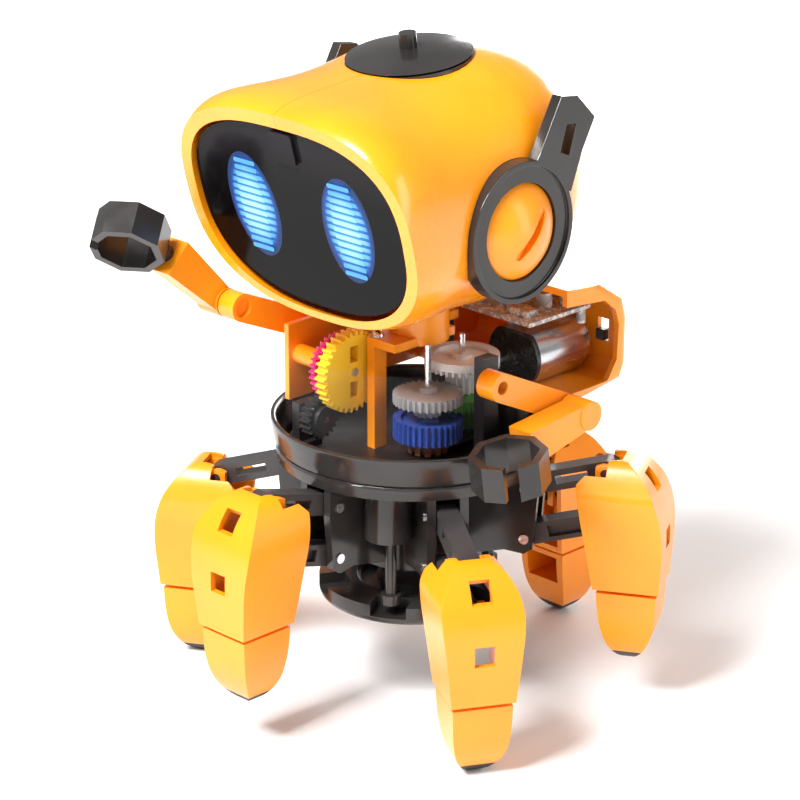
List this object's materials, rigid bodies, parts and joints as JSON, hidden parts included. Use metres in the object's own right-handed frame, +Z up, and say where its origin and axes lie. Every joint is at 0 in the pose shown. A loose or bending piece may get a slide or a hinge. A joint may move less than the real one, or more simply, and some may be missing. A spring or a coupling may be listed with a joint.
{
  "type": "hexapod_toy_robot",
  "caption": "Six-legged walking toy robot with a large round head, glowing eyes, clip hands and an open gearbox in its torso.",
  "frame": {"origin": "centre of the base plate's underside, on the torso's turning axis", "axes": "+Z up along the torso's turning axis, -Y forward (the way the face looks), +X to the robot's own left"},
  "size_m": [0.1468, 0.1564, 0.2004],
  "materials": {
    "orange": "bright orange-yellow moulded shell, high gloss",
    "dark_grey": "warm dark grey moulded plastic, satin",
    "link_grey": "dark grey moulded plastic, satin",
    "black_gloss": "black glossy face panel",
    "eye_glow": "blue-white backlit lens",
    "steel": "bright steel",
    "motor_steel": "rolled steel can",
    "rubber": "dark rubber",
    "clear": "clear moulded cover",
    "white_nylon": "white nylon",
    "grey_nylon": "light grey nylon",
    "green_nylon": "green nylon",
    "blue_nylon": "blue nylon",
    "brown_nylon": "red-brown nylon",
    "pink_nylon": "pink nylon",
    "yellow_nylon": "yellow nylon",
    "black_nylon": "black nylon",
    "board": "pale circuit board with its components"
  },
  "bodies": {
    "leg_base": {"bowl": "dark_grey", "hub": "dark_grey", "base_plate": "dark_grey", "link_pins": "steel"},
    "torso": {"turntable": "black_nylon", "gearbox_frame": "black_nylon", "frame_strap": "orange", "torso_shell": "orange", "clear_cover": "clear", "circuit_board": "board", "motor": "motor_steel", "gear_shafts": "steel", "frame_screws": "steel"},
    "head": {"head_shell": "orange", "head_cap": "dark_grey", "visor": "black_gloss", "eye_lights": "eye_glow", "ear_rings": "dark_grey", "ear_domes": "orange"},
    "battery_lid": {"battery_door": "orange"},
    "switch_slider": {"power_switch": "black_nylon"},
    "motor_rotor": {"motor_pinion": "steel"},
    "crown_wheel": {"crown_gear": "white_nylon"},
    "grey_wheel": {"grey_gear": "grey_nylon"},
    "green_wheel": {"green_gear": "green_nylon"},
    "blue_wheel": {"blue_gear": "blue_nylon", "brown_clutch": "brown_nylon"},
    "side_wheels": {"pink_gear": "pink_nylon", "yellow_gear": "yellow_nylon"},
    "black_wheel": {"black_gear": "black_nylon"},
    "left_arm_upper": {"left_upper_arm": "orange"},
    "left_arm_lower": {"left_forearm": "orange", "left_hand": "dark_grey"},
    "right_arm_upper": {"right_upper_arm": "orange"},
    "right_arm_lower": {"right_forearm": "orange", "right_hand": "dark_grey"},
    "leg_front_upper": {"leg_front_upper_link": "link_grey"},
    "leg_front_lower": {"leg_front_lower_link": "link_grey"},
    "leg_front": {"leg_front_shell": "orange", "leg_front_foot": "rubber"},
    "leg_front_left_upper": {"leg_front_left_upper_link": "link_grey"},
    "leg_front_left_lower": {"leg_front_left_lower_link": "link_grey"},
    "leg_front_left": {"leg_front_left_shell": "orange", "leg_front_left_foot": "rubber"},
    "leg_rear_left_upper": {"leg_rear_left_upper_link": "link_grey"},
    "leg_rear_left_lower": {"leg_rear_left_lower_link": "link_grey"},
    "leg_rear_left": {"leg_rear_left_shell": "orange", "leg_rear_left_foot": "rubber"},
    "leg_rear_upper": {"leg_rear_upper_link": "link_grey"},
    "leg_rear_lower": {"leg_rear_lower_link": "link_grey"},
    "leg_rear": {"leg_rear_shell": "orange", "leg_rear_foot": "rubber"},
    "leg_rear_right_upper": {"leg_rear_right_upper_link": "link_grey"},
    "leg_rear_right_lower": {"leg_rear_right_lower_link": "link_grey"},
    "leg_rear_right": {"leg_rear_right_shell": "orange", "leg_rear_right_foot": "rubber"},
    "leg_front_right_upper": {"leg_front_right_upper_link": "link_grey"},
    "leg_front_right_lower": {"leg_front_right_lower_link": "link_grey"},
    "leg_front_right": {"leg_front_right_shell": "orange", "leg_front_right_foot": "rubber"}
  },
  "joints": [
    {"name": "torso_turn", "type": "hinge", "parent": "leg_base", "child": "torso", "pos_m": [0, 0, 0.047], "axis": [0, 0, 1], "continuous": true},
    {"name": "head_nod", "type": "hinge", "parent": "torso", "child": "head", "pos_m": [0, 0.003, 0.0975], "axis": [1, 0, 0], "range_deg": [-3, 4]},
    {"name": "battery_door_slide", "type": "slide", "parent": "torso", "child": "battery_lid", "axis": [0, 1, 0], "range_m": [0, 0.006]},
    {"name": "power_switch_slide", "type": "slide", "parent": "torso", "child": "switch_slider", "axis": [0, 0, 1], "range_m": [0, 0.003]},
    {"name": "crown_gear_spin", "type": "hinge", "parent": "torso", "child": "crown_wheel", "pos_m": [0.01, 0.011, 0.074], "axis": [0, 0, 1], "continuous": true},
    {"name": "motor_pinion_spin", "type": "hinge", "parent": "torso", "child": "motor_rotor", "pos_m": [0.01, 0.021, 0.0695], "axis": [0, 1, 0], "continuous": true},
    {"name": "grey_gear_spin", "type": "hinge", "parent": "torso", "child": "grey_wheel", "pos_m": [0.01, -0.0034, 0.065], "axis": [0, 0, 1], "continuous": true},
    {"name": "green_gear_spin", "type": "hinge", "parent": "torso", "child": "green_wheel", "pos_m": [0.01, 0.011, 0.062], "axis": [0, 0, 1], "continuous": true},
    {"name": "blue_gear_spin", "type": "hinge", "parent": "torso", "child": "blue_wheel", "pos_m": [0.01, -0.0034, 0.056], "axis": [0, 0, 1], "continuous": true},
    {"name": "side_gear_spin", "type": "hinge", "parent": "torso", "child": "side_wheels", "pos_m": [-0.012, -0.0175, 0.073], "axis": [1, 0, 0], "continuous": true},
    {"name": "black_gear_spin", "type": "hinge", "parent": "torso", "child": "black_wheel", "pos_m": [-0.014, -0.02482, 0.05888], "axis": [1, 0, 0], "continuous": true},
    {"name": "left_shoulder_swing", "type": "hinge", "parent": "torso", "child": "left_arm_upper", "pos_m": [0.038, -0.006, 0.0774], "axis": [-1, 0, 0], "range_deg": [-30, 2]},
    {"name": "left_elbow_bend", "type": "hinge", "parent": "left_arm_upper", "child": "left_arm_lower", "pos_m": [0.046, 0.0216, 0.06418], "axis": [-1, 0, 0], "range_deg": [0, 40]},
    {"name": "right_shoulder_swing", "type": "hinge", "parent": "torso", "child": "right_arm_upper", "pos_m": [-0.038, -0.006, 0.0774], "axis": [-1, 0, 0], "range_deg": [-30, 0]},
    {"name": "right_elbow_bend", "type": "hinge", "parent": "right_arm_upper", "child": "right_arm_lower", "pos_m": [-0.046, -0.03404, 0.08965], "axis": [-1, 0, 0], "range_deg": [-45, 0]},
    {"name": "leg_front_lift", "type": "hinge", "parent": "leg_base", "child": "leg_front_upper", "pos_m": [0, -0.036, 0.039], "axis": [-1, 0, 0], "range_deg": [-31.42, 0]},
    {"name": "leg_front_lower_swing", "type": "hinge", "parent": "leg_base", "child": "leg_front_lower", "pos_m": [0, -0.036, 0.023], "axis": [-1, 0, 0], "range_deg": [-31.42, 0]},
    {"name": "leg_front_knee", "type": "hinge", "parent": "leg_front_upper", "child": "leg_front", "pos_m": [0, -0.06, 0.04575], "axis": [-1, 0, 0], "range_deg": [0, 31.42]},
    {"name": "leg_front_left_lift", "type": "hinge", "parent": "leg_base", "child": "leg_front_left_upper", "pos_m": [0.03118, -0.018, 0.039], "axis": [-0.5, -0.866, 0], "range_deg": [0, 31.42]},
    {"name": "leg_front_left_lower_swing", "type": "hinge", "parent": "leg_base", "child": "leg_front_left_lower", "pos_m": [0.03118, -0.018, 0.023], "axis": [-0.5, -0.866, 0], "range_deg": [0, 31.42]},
    {"name": "leg_front_left_knee", "type": "hinge", "parent": "leg_front_left_upper", "child": "leg_front_left", "pos_m": [0.05196, -0.03, 0.03225], "axis": [-0.5, -0.866, 0], "range_deg": [-31.42, 0]},
    {"name": "leg_rear_left_lift", "type": "hinge", "parent": "leg_base", "child": "leg_rear_left_upper", "pos_m": [0.03118, 0.018, 0.039], "axis": [0.5, -0.866, 0], "range_deg": [-31.42, 0]},
    {"name": "leg_rear_left_lower_swing", "type": "hinge", "parent": "leg_base", "child": "leg_rear_left_lower", "pos_m": [0.03118, 0.018, 0.023], "axis": [0.5, -0.866, 0], "range_deg": [-31.42, 0]},
    {"name": "leg_rear_left_knee", "type": "hinge", "parent": "leg_rear_left_upper", "child": "leg_rear_left", "pos_m": [0.05196, 0.03, 0.04575], "axis": [0.5, -0.866, 0], "range_deg": [0, 31.42]},
    {"name": "leg_rear_lift", "type": "hinge", "parent": "leg_base", "child": "leg_rear_upper", "pos_m": [0, 0.036, 0.039], "axis": [1, 0, 0], "range_deg": [0, 31.42]},
    {"name": "leg_rear_lower_swing", "type": "hinge", "parent": "leg_base", "child": "leg_rear_lower", "pos_m": [0, 0.036, 0.023], "axis": [1, 0, 0], "range_deg": [0, 31.42]},
    {"name": "leg_rear_knee", "type": "hinge", "parent": "leg_rear_upper", "child": "leg_rear", "pos_m": [0, 0.06, 0.03225], "axis": [1, 0, 0], "range_deg": [-31.42, 0]},
    {"name": "leg_rear_right_lift", "type": "hinge", "parent": "leg_base", "child": "leg_rear_right_upper", "pos_m": [-0.03118, 0.018, 0.039], "axis": [0.5, 0.866, 0], "range_deg": [-31.42, 0]},
    {"name": "leg_rear_right_lower_swing", "type": "hinge", "parent": "leg_base", "child": "leg_rear_right_lower", "pos_m": [-0.03118, 0.018, 0.023], "axis": [0.5, 0.866, 0], "range_deg": [-31.42, 0]},
    {"name": "leg_rear_right_knee", "type": "hinge", "parent": "leg_rear_right_upper", "child": "leg_rear_right", "pos_m": [-0.05196, 0.03, 0.04575], "axis": [0.5, 0.866, 0], "range_deg": [0, 31.42]},
    {"name": "leg_front_right_lift", "type": "hinge", "parent": "leg_base", "child": "leg_front_right_upper", "pos_m": [-0.03118, -0.018, 0.039], "axis": [-0.5, 0.866, 0], "range_deg": [0, 31.42]},
    {"name": "leg_front_right_lower_swing", "type": "hinge", "parent": "leg_base", "child": "leg_front_right_lower", "pos_m": [-0.03118, -0.018, 0.023], "axis": [-0.5, 0.866, 0], "range_deg": [0, 31.42]},
    {"name": "leg_front_right_knee", "type": "hinge", "parent": "leg_front_right_upper", "child": "leg_front_right", "pos_m": [-0.05196, -0.03, 0.03225], "axis": [-0.5, 0.866, 0], "range_deg": [-31.42, 0]}
  ],
  "couplings": [
    {"joint": "motor_pinion_spin", "follows": "crown_gear_spin", "ratio": -3.6},
    {"joint": "grey_gear_spin", "follows": "crown_gear_spin", "ratio": -0.45455},
    {"joint": "green_gear_spin", "follows": "crown_gear_spin", "ratio": 0.15152},
    {"joint": "blue_gear_spin", "follows": "crown_gear_spin", "ratio": -0.068871},
    {"joint": "black_gear_spin", "follows": "side_gear_spin", "ratio": -1.65},
    {"joint": "leg_front_lift", "follows": "leg_front_left_lift", "ratio": -1},
    {"joint": "leg_front_lower_swing", "follows": "leg_front_left_lift", "ratio": -1},
    {"joint": "leg_front_knee", "follows": "leg_front_left_lift", "ratio": 1},
    {"joint": "leg_front_left_lower_swing", "follows": "leg_front_left_lift", "ratio": 1},
    {"joint": "leg_front_left_knee", "follows": "leg_front_left_lift", "ratio": -1},
    {"joint": "leg_rear_left_lift", "follows": "leg_front_left_lift", "ratio": -1},
    {"joint": "leg_rear_left_lower_swing", "follows": "leg_front_left_lift", "ratio": -1},
    {"joint": "leg_rear_left_knee", "follows": "leg_front_left_lift", "ratio": 1},
    {"joint": "leg_rear_lift", "follows": "leg_front_left_lift", "ratio": 1},
    {"joint": "leg_rear_lower_swing", "follows": "leg_front_left_lift", "ratio": 1},
    {"joint": "leg_rear_knee", "follows": "leg_front_left_lift", "ratio": -1},
    {"joint": "leg_rear_right_lift", "follows": "leg_front_left_lift", "ratio": -1},
    {"joint": "leg_rear_right_lower_swing", "follows": "leg_front_left_lift", "ratio": -1},
    {"joint": "leg_rear_right_knee", "follows": "leg_front_left_lift", "ratio": 1},
    {"joint": "leg_front_right_lift", "follows": "leg_front_left_lift", "ratio": 1},
    {"joint": "leg_front_right_lower_swing", "follows": "leg_front_left_lift", "ratio": 1},
    {"joint": "leg_front_right_knee", "follows": "leg_front_left_lift", "ratio": -1}
  ]
}
